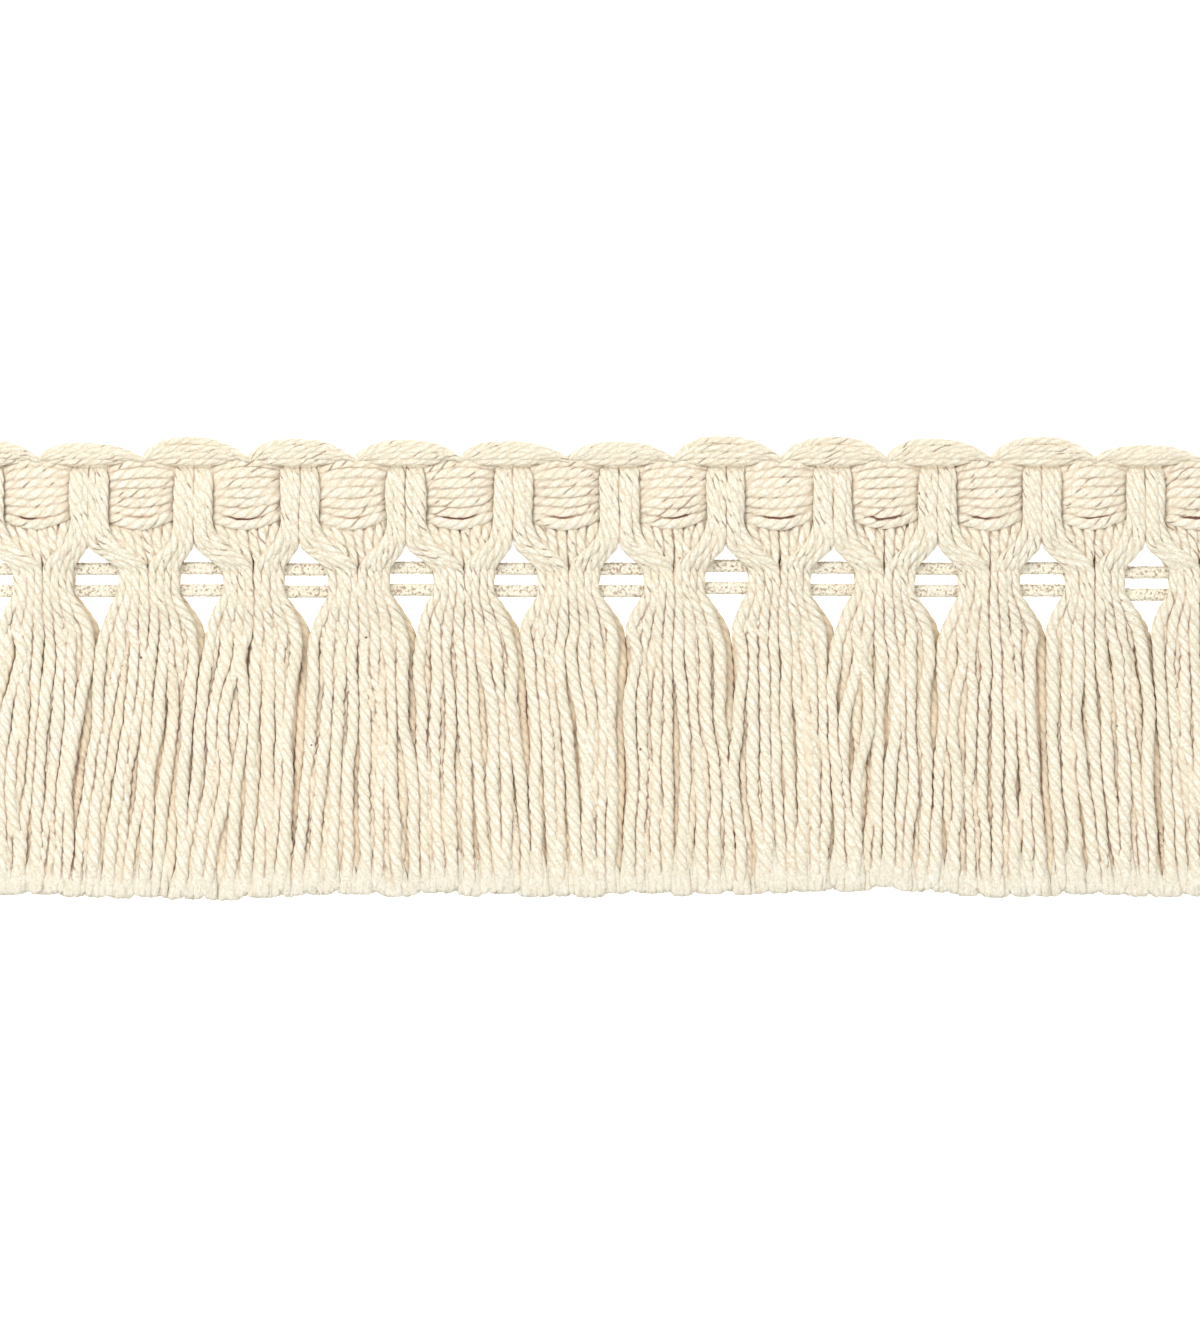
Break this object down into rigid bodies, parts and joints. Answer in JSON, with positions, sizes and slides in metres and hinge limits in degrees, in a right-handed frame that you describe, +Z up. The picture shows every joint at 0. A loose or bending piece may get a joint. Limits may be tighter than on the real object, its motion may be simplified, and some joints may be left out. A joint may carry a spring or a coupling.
{
  "type": "tassel fringe trim",
  "caption": "Flat length of cream yarn tassel fringe trim: a scalloped edging, a heading bundle held by folded tassels, binding cords and a cut skirt.",
  "frame": {"origin": "middle of the trim's bounding box, on the surface that it lies on", "axes": "+X along the trim, +Y from the fringe's hem towards the scalloped edge, +Z up out of its face"},
  "size_m": [0.212, 0.0772, 0.0067],
  "materials": {
    "yarn": "matte cream four-ply cotton yarn",
    "heading": "matte pale cream cotton yarn",
    "cord": "matte cream chain-stitched cord"
  },
  "bodies": {
    "root": {"heading_bundle": "heading", "scallop_edging": "heading", "cord_upper": "cord", "cord_lower": "cord", "tassel_01": "yarn", "tassel_02": "yarn", "tassel_03": "yarn", "tassel_04": "yarn", "tassel_05": "yarn", "tassel_06": "yarn", "tassel_07": "yarn", "tassel_08": "yarn", "tassel_09": "yarn", "tassel_10": "yarn", "tassel_11": "yarn", "tassel_12": "yarn"}
  },
  "joints": []
}
